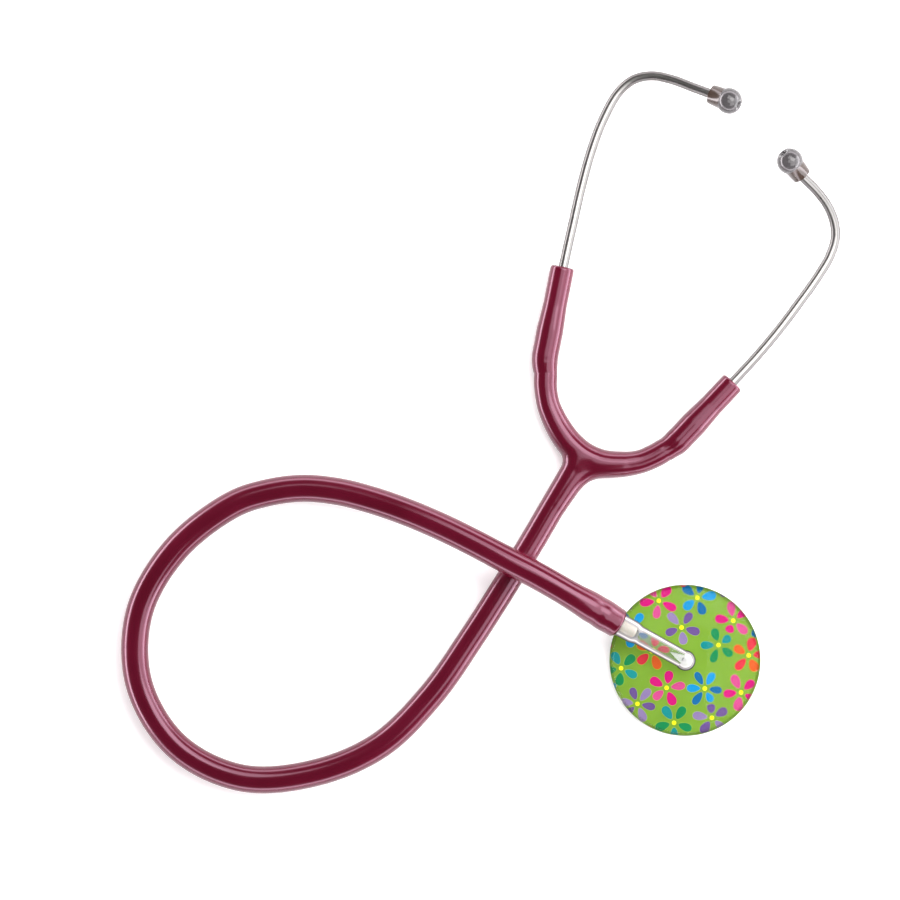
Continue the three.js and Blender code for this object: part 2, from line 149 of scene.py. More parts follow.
SIDES = {
    "left": {
        "crotch": -1,
        "start": Vector((-50.9, 107.2, LIE)),
        "direction": direction(79.3),
        "length": 36.4,
        "bulge": 13.0,
        "outer_axis": ((-51.5, 107.4), (-44.45, 143.0)),
        "route": [
            (-40.6, 159.2, 5), (-37.8, 171.5, 5), (-34.4, 184, 5.1), (-30, 196, 5.5),
            (-24.3, 206.2, 6.3), (-18.7, 210.9, 7.4), (-12.2, 212.2, 8.9), (-5.1, 210.8, 10.9),
            (2.6, 207.8, 13.8),
        ],
        "tip": Vector((9.1, 205.25, 16.3)),
        "tip_direction": direction(-21.7, 20),
    },
    "right": {
        "crotch": 1,
        "start": Vector((-5, 77.3, LIE)),
        "direction": direction(46.7),
        "length": 32.8,
        "bulge": 12.0,
        "outer_axis": ((-4.9, 77.3), (17.5, 101.1)),
        "route": [
            (26.2, 110.6, 5), (34.3, 120.3, 5), (41.9, 130.4, 5), (48.4, 139.6, 5.2),
            (52.8, 147.2, 5.7), (54.6, 153.8, 6.7), (54, 159.4, 8.2), (51.6, 165, 10.2),
            (47.7, 170.1, 12.5),
        ],
        "tip": Vector((42.1, 175.6, 15.3)),
        "tip_direction": direction(130.2, 20),
    },
}

ARMS_ROUTE = [
    SIDES["left"]["start"],
    (-51.2, 105.7, LIE), (-51.1, 101.4, LIE), (-50.2, 96.2, LIE), (-48.4, 90.2, LIE), (-45.6, 84, LIE),
    (-41.8, 78.3, LIE), (-37.3, 74.3, LIE), (-31.9, 72, LIE), (-25.5, 71.2, LIE), (-18.5, 71.5, LIE),
    (-12.6, 72.9, LIE), (-6.1, 76.2, LIE),
    SIDES["right"]["start"],
]
Y_JUNCTION = Vector((-38.9, 72.1, LIE))
HOSE_END_AT_Y = Vector((-49.4, 53.6, LIE))

HOSE_DRIFT = direction(STEM_AZIMUTH - 90)  # the soft hose leaves the stem a little off its line

# The arms as moulded, from inside the left sleeve to inside the right one, with the radius at each.
MOULDED_ARMS = [
    (-50.4, 111, 2.4), (-50.65, 107.2, 4.2), (-50.6, 104.2, 4.33), (-50.7, 100.2, 4.3),
    (-50.3, 96.3, 4.2), (-49.5, 92.5, 4.3), (-47.95, 88.6, 4.5), (-46.2, 85.1, 4.68),
    (-44.1, 81.7, 4.88), (-41.6, 78.5, 5), (-37.1, 74.6, 5.1), (-31.9, 72.15, 5.05), (-28, 71.35, 4.95),
    (-24, 71.2, 4.77), (-20, 71.45, 4.5), (-16.1, 72.2, 4.32), (-12.45, 73.65, 4.35),
    (-9.05, 75.4, 4.4), (-7.0, 76.9, 4.35), (-4.2, 79.7, 2.4),
]
# The web that eases the Y's stem into its right arm.
MOULDED_WEB = [
    (-46.4, 57.5, 3.4), (-43.9, 61, 3.85), (-41.4, 64.3, 4), (-37.5, 67.8, 4.05), (-34.3, 69.4, 4.05),
    (-29, 70.6, 3.9), (-23, 71.1, 3.3),
]
Y_STEM_TOP = Vector((-39.9, 69.9, LIE))
Y_STEM_RADIUS = 4.76

HOSE_ROUTE = [
    on_stem(HOSE_START) + HOSE_DRIFT * 0.1,
    on_stem(HOSE_START + 5) + HOSE_DRIFT * 0.35,
    on_stem(HOSE_START + 10) + HOSE_DRIFT * 0.6,
    on_stem(HOSE_CUFF_END) + HOSE_DRIFT * 0.85,
    (-53.5, 30.75, 20.1), (-65.2, 36.8, 19.5), (-76.8, 42.9, 17.7), (-88.7, 48.7, 15.1),
    (-100.8, 53.8, 12.3), (-113.2, 58.1, 9.5), (-125.9, 61.3, 7.2), (-139, 62.5, 5.7),
    (-152.1, 60.8, 5.1), (-164.5, 56.5, 5), (-185.1, 40.4, 5), (-198.2, 17.6, 5), (-198.4, -8.5, 5),
    (-184.9, -31, 5), (-161.5, -42.7, 5), (-135.2, -41.1, 5), (-111.1, -31, 5), (-92.3, -12.7, 5),
    (-77.2, 8.7, 5), (-63.1, 30.9, 5), (-56.2, 42, 5),
    HOSE_END_AT_Y + (Y_JUNCTION - HOSE_END_AT_Y).normalized() * 1.3,
]
# How thick the hose is at each length along it, as (length, radius): two soft swells over the barbs.
HOSE_RADII = [
    (0, 5.5), (1.8, 5.5), (4, 5.65), (6.4, 5.83), (9.1, 5.58), (11.8, 5.7), (14.6, 5.52), (18.2, 5.22),
    (23, 5.03), (150, 5.03), (300, 4.98), (350, 4.92), (400, 4.82), (425, Y_STEM_RADIUS),
    (460, Y_STEM_RADIUS),
]

# ---- curves ----


def catmull(route, per_span=24):
    """A centripetal Catmull-Rom curve through the route's points."""
    p = [np.array(q, float) for q in route]
    p = [2 * p[0] - p[1]] + p + [2 * p[-1] - p[-2]]
    out = []
    for a, b, c, d in zip(p, p[1:], p[2:], p[3:]):
        t0 = max(np.linalg.norm(b - a), 1e-6) ** 0.5
        t1 = max(np.linalg.norm(c - b), 1e-6) ** 0.5
        t2 = max(np.linalg.norm(d - c), 1e-6) ** 0.5
        m1 = ((b - a) / t0 - (c - a) / (t0 + t1) + (c - b) / t1) * t1
        m2 = ((c - b) / t1 - (d - b) / (t1 + t2) + (d - c) / t2) * t1
        for i in range(per_span):
            u = i / per_span
            cubic = 2 * b - 2 * c + m1 + m2
            square = -3 * b + 3 * c - 2 * m1 - m2
            out.append(cubic * u**3 + square * u**2 + m1 * u + b)
    out.append(p[-2])
    return np.array(out)


def lengths(points):
    """How far along the line each of its points lies."""
    steps = np.linalg.norm(np.diff(points, axis=0), axis=1)
    return np.concatenate([[0], np.cumsum(steps)])


def between(points, start, end, spacing):
    """The stretch of a line between two lengths along it, with its points an even distance apart."""
    along = lengths(points)
    want = np.linspace(start, end, max(2, round((end - start) / spacing) + 1))
    return np.stack([np.interp(want, along, points[:, k]) for k in range(3)], 1)


def even(points, spacing):
    """The whole of a line, with its points an even distance apart."""
    return between(points, 0, lengths(points)[-1], spacing)


def tangents(points):
    """A unit vector along the line at each of its points."""
    t = np.gradient(points, axis=0)
    return t / np.linalg.norm(t, axis=1)[:, None]


def carried_frames(points):
    """Two unit vectors across the line at each point, carried along without twist."""
    t = tangents(points)
    first = np.cross(t[0], (0, 0, 1))
    first /= np.linalg.norm(first)
    across = [first]
    for k in range(1, len(t)):
        a = across[-1] - t[k] * (across[-1] @ t[k])
        across.append(a / np.linalg.norm(a))
    across = np.array(across)
    return across, np.cross(t, across)


# ---- meshes ----


def placed(name, data):
    """A new object in the scene, for a mesh, a lamp or a camera."""
    thing = bpy.data.objects.new(name, data)
    bpy.context.scene.collection.objects.link(thing)
    return thing


def build(name, vertices, faces, smooth_angle=40.0):
    """A piece from vertices in millimetres, smooth but for edges sharper than the angle."""
    mesh = bpy.data.meshes.new(name)
    mesh.from_pydata([[c * MM for c in v] for v in vertices], [], faces)
    mesh.validate()
    bm = bmesh.new()
    bm.from_mesh(mesh)
    bmesh.ops.recalc_face_normals(bm, faces=bm.faces)
    bm.to_mesh(mesh)
    bm.free()
    mesh.polygons.foreach_set("use_smooth", [True] * len(mesh.polygons))
    mesh.set_sharp_from_angle(angle=math.radians(smooth_angle))
    return placed(name, mesh)


def dress(piece, coats, body, slot, *nodes):
    """Gives a piece its materials and the body that it rides, and hides the solids that it replaces; the
    slot is not used.
    """
    for coat in coats:
        piece.data.materials.append(coat)
    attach(piece, body)
    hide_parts(*nodes)


def walls(rows, sides, closed):
    """Quads between rows of equal count. closed joins the last row to the first."""
    faces = []
    for r in range(rows if closed else rows - 1):
        a, b = r * sides, (r + 1) % rows * sides
        for s in range(sides):
            n = (s + 1) % sides
            faces.append((a + s, a + n, b + n, b + s))
    return faces


def skin(rings, closed=False):
    """Vertices and faces through rings of equal count, capped at both ends unless it is closed."""
    sides = len(rings[0])
    vertices = [v for ring in rings for v in ring]
    faces = walls(len(rings), sides, closed)
    if not closed:
        faces.append(tuple(range(sides)))
        faces.append(tuple(range(len(vertices) - sides, len(vertices))))
    return vertices, faces


def tube_rings(points, radii, sides):
    """Rings of points round a line, one at each of its points."""
    across, lift = carried_frames(points)
    turn = np.arange(sides) * 2 * math.pi / sides
    circle = np.stack([np.cos(turn), np.sin(turn)], 1)
    return [
        (p + r * (circle[:, :1] * a + circle[:, 1:] * b)).tolist()
        for p, r, a, b in zip(points, radii, across, lift)
    ]


def pipe(name, points, radii, bores, sides):
    """A hollow tube along a line, open at both ends."""
    outside = tube_rings(points, radii, sides)
    inside = tube_rings(points, bores, sides)
    return build(name, *skin(outside + inside[::-1], closed=True))


def rounded(profile, corner, steps=4):
    """A profile with its corners rounded off. corner is one size, or one for each point."""
    corners = corner if isinstance(corner, (list, tuple)) else [corner] * len(profile)
    out = []
    count = len(profile)
    for k, ((x, y), size) in enumerate(zip(profile, corners)):
        here = Vector((x, y))
        before = Vector(profile[k - 1]) - here
        after = Vector(profile[(k + 1) % count]) - here
        if size <= 0 or x == 0 or before.length < 1e-6 or after.length < 1e-6:
            out.append((x, y))
            continue
        reach = min(size, before.length * 0.45, after.length * 0.45)
        a, b = here + before.normalized() * reach, here + after.normalized() * reach
        for i in range(steps + 1):
            u = i / steps
            p = a * (1 - u) ** 2 + here * 2 * u * (1 - u) + b * u**2
            out.append((p.x, p.y))
    return out


def lathe(name, profile, sides, origin=(0, 0, 0), axis=(0, 0, 1), smooth_angle=32.0):
    """Turns a profile of (radius, height) pairs about an axis. One that starts on the axis ends on it."""
    axis = Vector(axis).normalized()
    side = axis.orthogonal().normalized()
    other = axis.cross(side)
    origin = Vector(origin)
    solid = profile[0][0] == 0
    middle = profile[1:-1] if solid else profile
    vertices = []
    for radius, height in middle:
        for s in range(sides):
            turn = 2 * math.pi * s / sides
            spoke = side * math.cos(turn) + other * math.sin(turn)
            vertices.append(tuple(origin + axis * height + spoke * radius))
    rows = len(middle)
    faces = walls(rows, sides, closed=not solid)
    if solid:
        for row, (_, height) in ((0, profile[0]), (rows - 1, profile[-1])):
            vertices.append(tuple(origin + axis * height))
            tip = len(vertices) - 1
            for s in range(sides):
                faces.append((row * sides + s, row * sides + (s + 1) % sides, tip))
    return build(name, vertices, faces, smooth_angle)


def joined(target, others, operation):
    """Joins the others to the target or cuts them from it, and removes them."""
    bpy.context.view_layer.objects.active = target
    for other in others:
        cut = target.modifiers.new("join", "BOOLEAN")
        cut.operation = operation
        cut.solver = "EXACT"
        cut.object = other
        cut.material_mode = "TRANSFER"
        with bpy.context.temp_override(object=target, active_object=target):
            bpy.ops.object.modifier_apply(modifier=cut.name)
        bpy.data.objects.remove(other)


# ---- materials ----

BUMP_HEIGHT = 0.1 * MM


def principled(name, colour, roughness, **settings):
    """A new material with its node tree and shader. Settings are socket names with _ for spaces."""
    material = bpy.data.materials.new(name)
    material.use_nodes = True
    tree = material.node_tree
    shader = tree.nodes["Principled BSDF"]
    shader.inputs["Base Color"].default_value = (*colour, 1)
    shader.inputs["Roughness"].default_value = roughness
    for socket, value in settings.items():
        shader.inputs[socket.replace("_", " ")].default_value = value
    return material, tree, shader


def position_noise(tree, scale, detail=3.0, stretch=(1, 1, 1)):
    """Noise in the object's own coordinates, which are the frame's, in metres."""
    place = tree.nodes.new("ShaderNodeTexCoord")
    mapping = tree.nodes.new("ShaderNodeMapping")
    mapping.inputs["Scale"].default_value = stretch
    noise = tree.nodes.new("ShaderNodeTexNoise")
    noise.inputs["Scale"].default_value = scale
    noise.inputs["Detail"].default_value = detail
    tree.links.new(place.outputs["Object"], mapping.inputs["Vector"])
    tree.links.new(mapping.outputs["Vector"], noise.inputs["Vector"])
    return noise.outputs["Fac"]


def edge_on(tree):
    """0 where a surface faces the eye, rising to 1 where it lies edge on."""
    node = tree.nodes.new("ShaderNodeLayerWeight")
    node.inputs["Blend"].default_value = 0.5
    return node.outputs["Facing"]


def ramp(tree, value, stops):
    """A colour that follows the value, by (position, colour) stops."""
    node = tree.nodes.new("ShaderNodeValToRGB")
    for element, (position, colour) in zip(node.color_ramp.elements, (stops[0], stops[-1])):
        element.position = position
        element.color = (*colour, 1)
    for position, colour in stops[1:-1]:
        node.color_ramp.elements.new(position).color = (*colour, 1)
    tree.links.new(value, node.inputs["Fac"])
    return node.outputs["Color"]


def spread(tree, value, low, high, start=0.3, end=0.7):
    """A number that goes from low to high as the value goes from start to end."""
    node = tree.nodes.new("ShaderNodeMapRange")
    node.inputs["From Min"].default_value = start
    node.inputs["From Max"].default_value = end
    node.inputs["To Min"].default_value = low
    node.inputs["To Max"].default_value = high
    tree.links.new(value, node.inputs["Value"])
    return node.outputs["Result"]


def bumped(tree, shader, height, strength):
    node = tree.nodes.new("ShaderNodeBump")
    node.inputs["Strength"].default_value = strength
    node.inputs["Distance"].default_value = BUMP_HEIGHT
    tree.links.new(height, node.inputs["Height"])
    tree.links.new(node.outputs["Normal"], shader.inputs["Normal"])


def varied(name, low, high, scale, rough, bump=0.0, stretch=(1, 1, 1), **settings):
    """A moulded or turned surface: colour and roughness drift with noise, over a fine bump."""
    material, tree, shader = principled(name, low, rough[0], **settings)
    noise = position_noise(tree, scale, stretch=stretch)
    tree.links.new(ramp(tree, noise, [(0.3, low), (0.7, high)]), shader.inputs["Base Color"])
    tree.links.new(spread(tree, noise, rough[0], rough[1]), shader.inputs["Roughness"])
    if bump:
        bumped(tree, shader, position_noise(tree, scale * 9, 4.0, stretch), bump)
    return material


def lamp_through(tree, shader, tint):
    """Lets lamps through a clear solid: shadow rays meet a tinted transparent shader instead."""
    path = tree.nodes.new("ShaderNodeLightPath")
    clear = tree.nodes.new("ShaderNodeBsdfTransparent")
    clear.inputs["Color"].default_value = (*tint, 1)
    mix = tree.nodes.new("ShaderNodeMixShader")
    output = tree.nodes["Material Output"]
    tree.links.new(path.outputs["Is Shadow Ray"], mix.inputs["Fac"])
    tree.links.new(shader.outputs["BSDF"], mix.inputs[1])
    tree.links.new(clear.outputs["BSDF"], mix.inputs[2])
    tree.links.new(mix.outputs["Shader"], output.inputs["Surface"])


def vinyl():
    """Burgundy PVC: a dark core under a clean gloss tinted mauve, with a faint grain in it."""
    return varied("burgundy_vinyl", (0.063, 0.0004, 0.0072), (0.079, 0.001, 0.0104), 45,
                  (0.15, 0.19), bump=0.008, IOR=1.5, Specular_IOR_Level=0.76,
                  Specular_Tint=(1, 0.62, 0.8, 1))


def acrylic():
    """Clear plastic; where it turns edge on, at the rim, its colour is painted darker, a painted shade for
    the dark look of a thick clear edge.
    """
    material, tree, shader = principled("clear_acrylic", (0.98, 1, 0.985), 0.012, IOR=1.14,
                                        Transmission_Weight=1.0)
    # painted shade: the colour darkens as the surface turns edge on, most at the rim
    shade = ramp(tree, edge_on(tree), [
        (0.0, (0.98, 1, 0.985)), (0.09, (0.97, 1, 0.975)), (0.2, (0.7, 0.73, 0.62)),
        (0.32, (0.42, 0.43, 0.37)), (0.6, (0.2, 0.2, 0.18)),
    ])
    tree.links.new(shade, shader.inputs["Base Color"])
    bumped(tree, shader, position_noise(tree, 260), 0.03)
    lamp_through(tree, shader, (0.97, 0.99, 0.97))
    return material


def edge_on_acrylic(name, clear, edge, painted_light_stops):
    """Clear plastic seen as a thick lens: how clear it is follows how edge on it lies, and so does its
    colour, painted in pale and dark bands as painted highlights and painted shade.
    """
    material, tree, shader = principled(name, (0.5, 0.5, 0.5), 0.05, IOR=1.12, Transmission_Weight=1.0)
    facing = edge_on(tree)
    tree.links.new(spread(tree, facing, *clear, *edge), shader.inputs["Transmission Weight"])
    # painted highlights and painted shade: colour bands set by how edge on the surface lies
    tree.links.new(ramp(tree, facing, painted_light_stops), shader.inputs["Base Color"])
    noise = position_noise(tree, 420)
    tree.links.new(spread(tree, noise, 0.04, 0.08), shader.inputs["Roughness"])
    lamp_through(tree, shader, (0.85, 0.87, 0.86))
    return material


def steel():
    """Satin stainless tube, its colour painted darker towards its edges, a painted shade that keeps them in
    sight, and painted lighter where it faces the eye, a painted highlight.
    """
    material = varied("polished_steel", (0.56, 0.55, 0.53), (0.64, 0.63, 0.61), 70, (0.27, 0.33),
                      bump=0.03, Metallic=1.0)
    tree = material.node_tree
    shader = tree.nodes["Principled BSDF"]
    # painted highlight where the tube faces the eye, painted shade towards its edges
    painted_light_greys = ((0.0, 1), (0.03, 0.6), (0.1, 0.27), (0.3, 0.22), (0.55, 0.2), (0.8, 0.12))
    shade = ramp(tree, edge_on(tree), [(position, (g, g, g)) for position, g in painted_light_greys])
    mix = tree.nodes.new("ShaderNodeVectorMath")
    mix.operation = "MULTIPLY"
    tree.links.new(shader.inputs["Base Color"].links[0].from_socket, mix.inputs[0])
    tree.links.new(shade, mix.inputs[1])
    tree.links.new(mix.outputs["Vector"], shader.inputs["Base Color"])
    return material


def bore_acrylic():
    """The walls of the sound path, nearly unseen inside the clear plastic."""
    material, tree, shader = principled("bore_acrylic", (0.99, 1, 0.99), 0.02,
                                        IOR=1.08, Transmission_Weight=1.0)
    noise = position_noise(tree, 300)
    tree.links.new(spread(tree, noise, 0.01, 0.04), shader.inputs["Roughness"])
    lamp_through(tree, shader, (0.97, 0.99, 0.97))
    return material


def smoky(name, low, high):
    """Tinted clear vinyl, dark and glassy, so that lamps show in it as crisp lines."""
    material = varied(name, low, high, 160, (0.04, 0.08), bump=0.03,
                      IOR=1.45, Specular_IOR_Level=0.7, Transmission_Weight=0.12)
    tree = material.node_tree
    lamp_through(tree, tree.nodes["Principled BSDF"], (0.3, 0.27, 0.25))
    return material


def make_materials():
    return {
        "vinyl": vinyl(),
        "acrylic": acrylic(),
        # painted highlights and painted shade: dark and pale lines down the stem's walls, where they turn
        # edge on
        "stem": edge_on_acrylic("stem_acrylic", (0.92, 0.15), (0.13, 0.21), [
            (0.12, (0.6, 0.62, 0.62)), (0.18, (0.34, 0.33, 0.33)), (0.25, (0.22, 0.21, 0.21)),
            (0.34, (0.8, 0.78, 0.78)), (0.44, (0.3, 0.29, 0.29)), (0.58, (0.16, 0.15, 0.15)),
            (0.75, (0.03, 0.025, 0.03)),
        ]),
        # painted highlight and painted shade: a pale middle and dark rings on the round stem end
        "ball": edge_on_acrylic("ball_acrylic", (0.45, 0.05), (0.1, 0.3), [
            (0.0, (0.66, 0.67, 0.66)), (0.25, (0.6, 0.6, 0.6)), (0.31, (0.15, 0.14, 0.14)),
            (0.42, (0.3, 0.29, 0.29)), (0.55, (0.07, 0.065, 0.07)), (0.8, (0.02, 0.02, 0.02)),
        ]),
        "bore": bore_acrylic(),
        "smoky_ball": smoky("smoky_vinyl", (0.052, 0.05, 0.052), (0.072, 0.068, 0.07)),
        "smoky_barrel": smoky("smoky_vinyl_deep", (0.036, 0.023, 0.018), (0.05, 0.033, 0.026)),
        "steel": steel(),
        "spring": varied("spring_steel", (0.4, 0.4, 0.4), (0.52, 0.52, 0.51), 300,
                         (0.28, 0.4), bump=0.1, stretch=(1, 1, 8), Metallic=1.0),
        "brass": varied("turned_brass", (0.55, 0.38, 0.15), (0.66, 0.48, 0.22), 260,
                        (0.25, 0.38), bump=0.1, Metallic=1.0),
        "ivory": varied("pearl_ivory", (0.42, 0.375, 0.32), (0.5, 0.455, 0.395), 130,
                        (0.22, 0.3), bump=0.05, Coat_Weight=0.3, Subsurface_Weight=0.2,
                        Subsurface_Scale=0.001),
        "white": varied("white_moulding", (0.8, 0.8, 0.79), (0.86, 0.86, 0.85), 90,
                        (0.3, 0.42), bump=0.05),
        "seal": varied("grey_seal", (0.2, 0.2, 0.2), (0.27, 0.27, 0.27), 400, (0.4, 0.55), bump=0.15),
        "film": varied("lime_film", (0.136, 0.258, 0.021), (0.15, 0.278, 0.026), 60, (0.32, 0.42),
                       Specular_IOR_Level=0.1),
    }


PETAL_PAIRS = [
    ((0.66, 0.002, 0.2), (0.68, 0.07, 0.28)),
    ((0.72, 0.03, 0.055), (0.74, 0.11, 0.015)),
    ((0.003, 0.25, 0.08), (0.005, 0.28, 0.3)),
    ((0.003, 0.14, 0.39), (0.004, 0.3, 0.7)),
    ((0.15, 0.08, 0.3), (0.3, 0.21, 0.46)),
]
PETAL_EDGE = (0.42, 0.6, 0.05)
FLOWER_EYE = (1.25, 1.1, 0.012)  # past 1 only until INK_DEPTH takes it down
INK_DEPTH = (0.64, 0.69)
PETAL_START = 1.65
EYE_RADIUS = 0.8
FLOWER_CLEARANCE = 5.6  # from a petal's end to the middle of any other flower


def ink(name, colour):
    """An ink of the given colour, taken down by a depth that drifts between two values."""
    low, high = ([c * depth for c in colour] for depth in INK_DEPTH)
    return varied(name, low, high, 120, (0.3, 0.4), Specular_IOR_Level=0.1)


# ---- chestpiece ----


def clear_head(materials):
    """The dome, stem and round stem end as one clear moulding, with the sound path cut through it."""
    dome = lathe("head_clear", rounded(
        [(0, HEAD_BOTTOM), (HEAD_RADIUS, HEAD_BOTTOM), (HEAD_RADIUS, 5.8), (26.2, HEAD_RIM_TOP + 0.1),
         (24.4, 7.6), (20.9, 8.2), (14.3, 9), (7, 9.5), (0, HEAD_TOP)],
        [0, 0.35, 0.5, 0.25, 1.5, 0.5, 0.5, 3, 0], 6), 160)
    stem = lathe("stem_tool", rounded(
        [(0, 0), (STEM_RADIUS, 0), (STEM_RADIUS + 0.2, COLLAR_START - 2.2),
         (COLLAR_RADIUS, COLLAR_START), (COLLAR_RADIUS, COLLAR_END), (0, COLLAR_END)],
        [0, 0, 0.8, 0.8, 0.4, 0], 5), 64, STEM_ROOT, STEM_DIRECTION)
    arc = [(BALL_RADIUS * math.sin(a), -BALL_RADIUS * math.cos(a)) for a in np.linspace(0, math.pi, 33)]
    arc[0], arc[-1] = (0, -BALL_RADIUS), (0, BALL_RADIUS)
    ball = lathe("ball_tool", arc, 64, STEM_ROOT)
    dome.data.materials.append(materials["acrylic"])
    stem.data.materials.append(materials["stem"])
    ball.data.materials.append(materials["ball"])
    joined(dome, [stem, ball], "UNION")
    bore = lathe("bore_tool",
                 [(0, 0), (SOUND_HOLE, 0), (SOUND_HOLE, SOCKET_START), (SOCKET_RADIUS, SOCKET_START),
                  (SOCKET_RADIUS, COLLAR_END + 1), (0, COLLAR_END + 1)],
                 48, STEM_ROOT, STEM_DIRECTION)
    hole = lathe("hole_tool",
                 [(0, HEAD_BOTTOM - 1), (SOUND_HOLE, HEAD_BOTTOM - 1), (SOUND_HOLE, STEM_ROOT.z),
                  (SOUND_HOLE * 0.7, STEM_ROOT.z + 1.1), (0, STEM_ROOT.z + 1.5)], 48)
    for tool in (bore, hole):
        tool.data.materials.append(materials["bore"])
    joined(dome, [bore, hole], "DIFFERENCE")
    dome.data.set_sharp_from_angle(angle=math.radians(28))
    dress(dome, [], "head", "clear_acrylic", "head_body")


def window_outline(radius, length, steps=10):
    """A drop in plan: round at the origin, with a point away along the stem's direction."""
    open_angle = math.acos(radius / length)
    turn = math.radians(STEM_AZIMUTH)
    arc = np.linspace(open_angle, 2 * math.pi - open_angle, 3 * steps)
    outline = [(radius * math.cos(turn + a), radius * math.sin(turn + a)) for a in arc]
    point = (length * math.cos(turn), length * math.sin(turn))
    legs = [outline[-1], point, outline[0]]
    for k, (a, b) in enumerate(zip(legs, legs[1:])):
        for i in range(1, steps):
            t = i / steps
            outline.append((a[0] * (1 - t) + b[0] * t, a[1] * (1 - t) + b[1] * t))
        if k == 0:
            outline.append(point)
    return outline


def ring_plate(name, rims, outline, bottom, top):
    """A flat disc with a shaped hole: circles of the given radii outside, the outline inside."""
    angles = [math.atan2(y, x) for x, y in outline]
    inner = rims[0][0] * 0.35

    def circle(radius, height):
        return [(radius * math.cos(a), radius * math.sin(a), height) for a in angles]

    def hole(height):
        return [(x, y, height) for x, y in outline]

    edge = [circle(radius, height) for radius, height in rims]
    loop = [hole(bottom), circle(inner, bottom), *edge, circle(inner, top), hole(top)]
    return build(name, *skin(loop, closed=True), 30)


def head_stack(materials):
    """What lies under the dome, from the top: film, cup and diaphragm, with the clear ring round them."""
    bottom = PRINT_TOP - 0.4
    film = ring_plate(
        "print_film",
        [(PRINT_RADIUS - 0.08, bottom), (PRINT_RADIUS, bottom + 0.08), (PRINT_RADIUS, PRINT_TOP - 0.08),
         (PRINT_RADIUS - 0.08, PRINT_TOP)],
        window_outline(SOUND_HOLE + 0.7, PRINT_WINDOW_LENGTH + 0.3), bottom, PRINT_TOP)
    dress(film, [materials["film"]], "head", "printed_film", "print_disc")

    cup = lathe("bell_cup", rounded(
        [(CUP_HOLE, CUP_TOP - 0.7), (12, 2.72), (23.4, 2.4), (24.2, CUP_BOTTOM),
         (CUP_RADIUS, CUP_BOTTOM), (CUP_RADIUS, CUP_TOP), (CUP_HOLE, CUP_TOP)], 0.15, 3), 128)
    dress(cup, [materials["white"]], "head", "white_plastic", "backing_cup")

    disc = lathe("diaphragm_disc", rounded(
        [(0, 0), (23.9, 0), (24.2, 0.3), (24.2, 0.9), (25.9, 0.9), (25.9, 1.3),
         (23.7, 1.3), (23.7, 0.45), (0, 0.45)], 0.08, 2), 128)
    dress(disc, [materials["white"]], "membrane", "white_plastic", "diaphragm")

    ring = lathe("clear_ring", rounded(
        [(24.6, 0), (HEAD_RADIUS - 0.3, 0), (HEAD_RADIUS, 0.3), (HEAD_RADIUS, RING_TOP),
         (26.3, RING_TOP), (26.3, 0.6), (24.6, 0.6)], [0.1, 0.3, 0.3, 0.35, 0.15, 0.1, 0.1], 4), 160)
    dress(ring, [materials["acrylic"]], "ring", "clear_acrylic", "retaining_ring")


def inside_disc(outline, radius, steps=96):
    """Clips a convex outline to a round edge."""
    for k in range(steps):
        turn = 2 * math.pi * (k + 0.5) / steps
        nx, ny = math.cos(turn), math.sin(turn)
        reach = radius * math.cos(math.pi / steps)
        kept = []
        for (ax, ay), (bx, by) in zip(outline, outline[1:] + outline[:1]):
            a, b = ax * nx + ay * ny - reach, bx * nx + by * ny - reach
            if a <= 0:
                kept.append((ax, ay))
            if (a < 0 < b) or (b < 0 < a):
                t = a / (a - b)
                kept.append((ax + (bx - ax) * t, ay + (by - ay) * t))
        outline = kept
        if len(outline) < 3:
            return []
    return outline


def petal_outline(centre, turn, inner, outer, half_width, grow=0.0):
    """A rounded petal, widest past its own middle. grow sets it out all round, for a thin edge."""
    points = []
    steps = 14
    for k in range(2 * steps):
        u = k / steps if k <= steps else 2 - k / steps
        side = 1 if k <= steps else -1
        eased = 0.5 - 0.5 * math.cos(math.pi * u)
        width = half_width * 2 * math.sqrt(max(0.0, eased * (1 - eased))) * (0.62 + 0.5 * eased) / 0.95
        along = inner - grow + (outer - inner + 2 * grow) * eased
        across = side * (width + (grow if width > 0 else 0))
        points.append((
            centre[0] + along * math.cos(turn) - across * math.sin(turn),
            centre[1] + along * math.sin(turn) + across * math.cos(turn),
        ))
    return points[::-1]


def flower_places(rng):
    """Places on three loose rings, the outermost beyond the film's edge so that its flowers are cut."""
    places = []
    for count, radius, first, loose in ((5, 12.6, 0.35, 0.8), (10, 23.2, 0.1, 0.7), (10, 32.8, 0.41, 0.5)):
        for k in range(count):
            turn = first + 2 * math.pi * (k + rng.uniform(-0.07, 0.07)) / count
            out = radius + rng.uniform(-loose, loose)
            places.append((out * math.cos(turn), out * math.sin(turn)))
    return places


def petal_reach(place, angle, outer, half_width, others):
    """How far a petal can reach before it meets the window in the film's middle or another flower."""
    root = 1.7
    point = direction(STEM_AZIMUTH).to_2d()
    along, across = Vector((math.cos(angle), math.sin(angle))), Vector((-math.sin(angle), math.cos(angle)))
    for step in range(12):
        reach = outer - 0.4 * step
        clear = True
        for out, size in ((0, SOUND_HOLE + 0.4), (2, 1.7), (4, 1.1), (5.6, 0.7)):
            middle = point * out
            for u, w in ((1, 0.15), (0.85, 0.8), (0.65, 1), (0.4, 0.8)):
                for side in (-1, 0, 1):
                    spot = Vector(place) + along * (root + (reach - root) * u)
                    spot += across * side * w * half_width
                    clear = clear and (spot - middle).length > size
        end = Vector(place) + along * reach
        clear = clear and all((end - Vector(q)).length > FLOWER_CLEARANCE for q in others)
        if clear:
            return reach
    return 0


